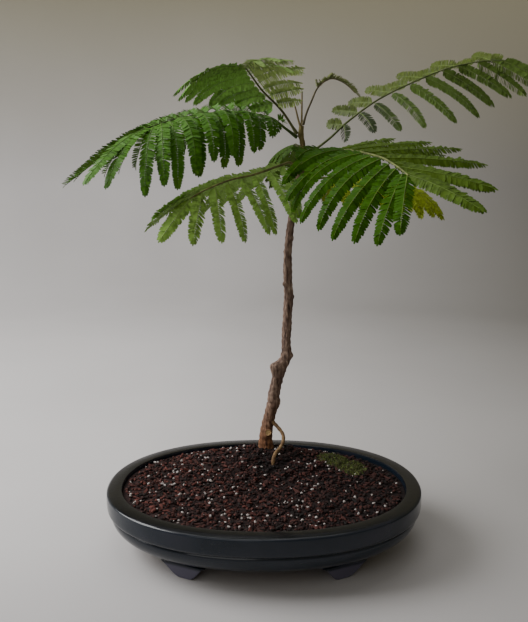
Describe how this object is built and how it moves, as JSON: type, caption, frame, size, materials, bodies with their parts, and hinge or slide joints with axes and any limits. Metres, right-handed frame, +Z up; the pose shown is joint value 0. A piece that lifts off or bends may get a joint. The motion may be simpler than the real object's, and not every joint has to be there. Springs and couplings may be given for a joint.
{
  "type": "royal poinciana bonsai in an oval pot",
  "caption": "Young royal poinciana bonsai: slim bare trunk with spreading feathery bipinnate fronds, planted towards the back of a shallow oval footed glazed pot.",
  "frame": {"origin": "on the table, under the middle of the whole plant and pot", "axes": "+X to the right along the pot's long side, -Y towards the viewer of the front, +Z up"},
  "size_m": [0.5288, 0.4632, 0.5113],
  "materials": {
    "glaze": "gloss",
    "mesh_plastic": "matte",
    "soil": "matte",
    "moss": "matte",
    "bark": "matte",
    "leaf": "satin"
  },
  "bodies": {
    "root": {"pot": "glaze", "drain_screen_left": "mesh_plastic", "drain_screen_right": "mesh_plastic", "soil": "soil", "moss": "moss", "trunk": "bark", "frond_upper_left": "leaf", "frond_left": "leaf", "frond_lower_left": "leaf", "frond_upper_right": "leaf", "frond_lower_right": "leaf", "frond_back_right": "leaf", "frond_back": "leaf", "frond_young": "leaf"}
  },
  "joints": []
}
